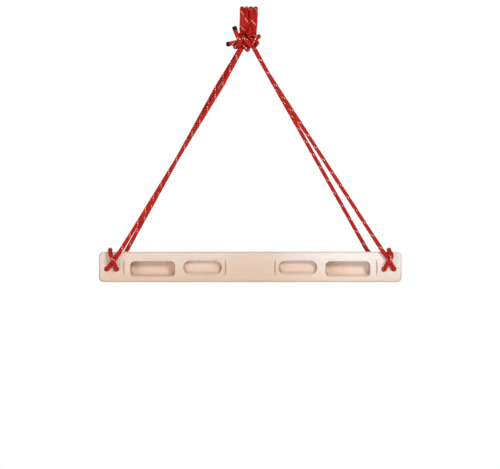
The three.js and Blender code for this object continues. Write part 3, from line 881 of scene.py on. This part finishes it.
def make_cap(name, cord, last):
    """A shrunk cap over one end of the cord."""
    index, outwards = (-1, 1) if last else (0, -1)
    end, along = cord.path[index], cord.tangents[index] * outwards
    one, two = cord.normals[index], cord.others[index]
    outer, edge = CORD_DIAMETER / 2 + CAP["wall"], -CAP["length"]
    profile = [
        (outer - CAP["wall"], TOUCH),
        (outer - CAP["wall"], edge + CAP["bore"]),
        (outer - CAP["inset"], edge + CAP["rim"]),
        (outer, edge + CAP["full"]),
        (outer * CAP["waist_share"], edge + CAP["waist"]),
        (outer, -CAP["shoulder"]),
    ]
    for step in range(1, CAP["dome_steps"] + 1):
        angle = step / CAP["dome_steps"] * math.pi / 2
        radius = outer * math.cos(angle) * CAP["dome_share"] + CAP["inset"]
        profile.append((radius, CAP["dome"] * math.sin(angle)))
    angles = np.arange(CAP["sides"]) / CAP["sides"] * 2 * math.pi
    rings = [
        [end + along * z + r * (one * math.cos(a) + two * math.sin(a)) for a in angles]
        for r, z in profile
    ]
    cap = loft(name, rings)
    for face in cap.data.polygons:
        face.use_smooth = True
    return cap


def dress(obj, material):
    obj.data.materials.clear()
    obj.data.materials.append(material)


def make_cords(material, cap_look):
    cord = Cord()
    left_cap = make_cap("left_cord_cap", cord, last=False)
    right_cap = make_cap("right_cord_cap", cord, last=True)
    for cap, node in ((left_cap, "left_end_sleeve"), (right_cap, "right_end_sleeve")):
        dress(cap, cap_look)
        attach(cap, "bar_loop")
        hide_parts(node)
    last = len(cord.path) - 1
    knots = {name: cord.nearest(leg_point(name, LEAVES_KNOT)) for name in LEG_POINTS}
    on_root = [
        ("left_knot_cord", 0, knots["left_front"], "left_knot_strand", left_cap),
        ("bar_cord", knots["left_back"], knots["right_back"], "bar_winding", None),
        ("right_knot_cord", knots["right_front"], last, "right_knot_strand", right_cap),
    ]
    for name, first, end, node, cap in on_root:
        piece = cord.tube(name, first, end)
        dress(piece, material)
        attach(piece, "bar_loop")
        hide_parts(node)
    for side in WRAPS:
        first, end = sorted(cord.nearest(wrap_end(f"{side}_{face}")) for face in ("front", "back"))
        piece = cord.tube(f"{side}_board_cord", first, end)
        dress(piece, material)
        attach(piece, "board")
        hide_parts(f"{side}_end_wrap")
    for name in LEG_POINTS:
        bottom = cord.nearest(wrap_end(name))
        towards = 1 if bottom > knots[name] else -1
        low = bottom - towards * round(LEG_END_LENGTH / CORD_STEP)
        upper, lower = (cord.nearest(leg_point(name, d)) for d in (UPPER_END, LOWER_END))
        twisted = cord.nearest(leg_point(name, TWISTS_UNTIL))
        cuts = [
            ("upper", knots[name], upper, "bar_loop", "upper_links", upper, "upper_neck"),
            ("lower", upper, lower, "upper_links", "lower_links", lower, "lower_neck"),
            ("leg", lower, low, "lower_links", "legs", twisted, "leg"),
            ("foot", low, bottom, "legs", "board", bottom, None),
        ]
        for kind, start, end, body, next_body, bent, node in cuts:
            piece = cord.tube(f"{name}_{kind}_cord", min(start, end), max(start, end))
            dress(piece, material)
            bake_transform(piece)
            if node:
                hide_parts(f"{name}_{node}")
    return cord


# Floor, world and lamps

def add_floor():
    reach = FLOOR_REACH
    corners = [(-reach, -reach, 0), (reach, -reach, 0), (reach, reach, 0), (-reach, reach, 0)]
    floor = mesh_object("floor", corners, [(0, 1, 2, 3)])
    floor.location.z = FLOOR_Z
    n = Nodes("floor")
    n.shader.inputs["Base Color"].default_value = (FLOOR_GREY, FLOOR_GREY, FLOOR_GREY, 1)
    n.shader.inputs["Roughness"].default_value = 0.9
    n.shader.inputs["Specular IOR Level"].default_value = 0.1
    light = n.new("ShaderNodeEmission")
    mix = n.new("ShaderNodeMixShader")
    away = n.new("ShaderNodeVectorMath", operation="LENGTH")
    n.put(n.new("ShaderNodeTexCoord").outputs["Object"], away.inputs[0])
    plain = n.math("MULTIPLY_ADD", away.outputs["Value"], FLOOR_PLAIN, FLOOR_PLAIN)
    plain = n.math("MINIMUM", plain, 1.0)
    seen = n.math("MULTIPLY", n.new("ShaderNodeLightPath").outputs["Is Camera Ray"], plain)
    n.put(seen, mix.inputs[0])
    n.put(n.shader.outputs[0], mix.inputs[1])
    n.put(light.outputs[0], mix.inputs[2])
    n.put(mix.outputs[0], n.tree.nodes["Material Output"].inputs[0])
    floor.data.materials.append(n.material)


def add_world():
    """Soft white light. Past the object the camera sees plain white."""
    world = bpy.data.worlds.new("world")
    bpy.context.scene.world = world
    world.use_nodes = True
    nodes, links = world.node_tree.nodes, world.node_tree.links
    lit = nodes["Background"]
    lit.inputs[0].default_value = (1, 1, 1, 1)
    lit.inputs[1].default_value = WORLD_STRENGTH
    seen = nodes.new("ShaderNodeBackground")
    seen.inputs[0].default_value = (1, 1, 1, 1)
    path = nodes.new("ShaderNodeLightPath")
    either = nodes.new("ShaderNodeMath")
    either.operation = "MAXIMUM"
    links.new(path.outputs["Is Camera Ray"], either.inputs[0])
    links.new(path.outputs["Is Transmission Ray"], either.inputs[1])
    mix = nodes.new("ShaderNodeMixShader")
    links.new(either.outputs[0], mix.inputs[0])
    links.new(lit.outputs[0], mix.inputs[1])
    links.new(seen.outputs[0], mix.inputs[2])
    links.new(mix.outputs[0], nodes["World Output"].inputs[0])


def add_lamp(name, place, size, power):
    data = bpy.data.lights.new(name, "AREA")
    data.shape = "RECTANGLE"
    data.size = data.size_y = size
    data.energy = power
    lamp = bpy.data.objects.new(name, data)
    lamp.location = place
    towards = Vector(LAMPS_AIM) - Vector(place)
    lamp.rotation_euler = towards.to_track_quat("-Z", "Y").to_euler()
    bpy.context.scene.collection.objects.link(lamp)


add_camera()
make_cords(cord_material(), cap_material())
wooden_board = make_board()
dress(wooden_board, wood_material())
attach(wooden_board, "board")
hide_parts("board")

add_floor()
add_world()
for lamp_name, (lamp_place, lamp_size, lamp_power) in LAMPS.items():
    add_lamp(lamp_name, lamp_place, lamp_size, lamp_power)

bpy.context.scene.view_settings.view_transform = "Standard"
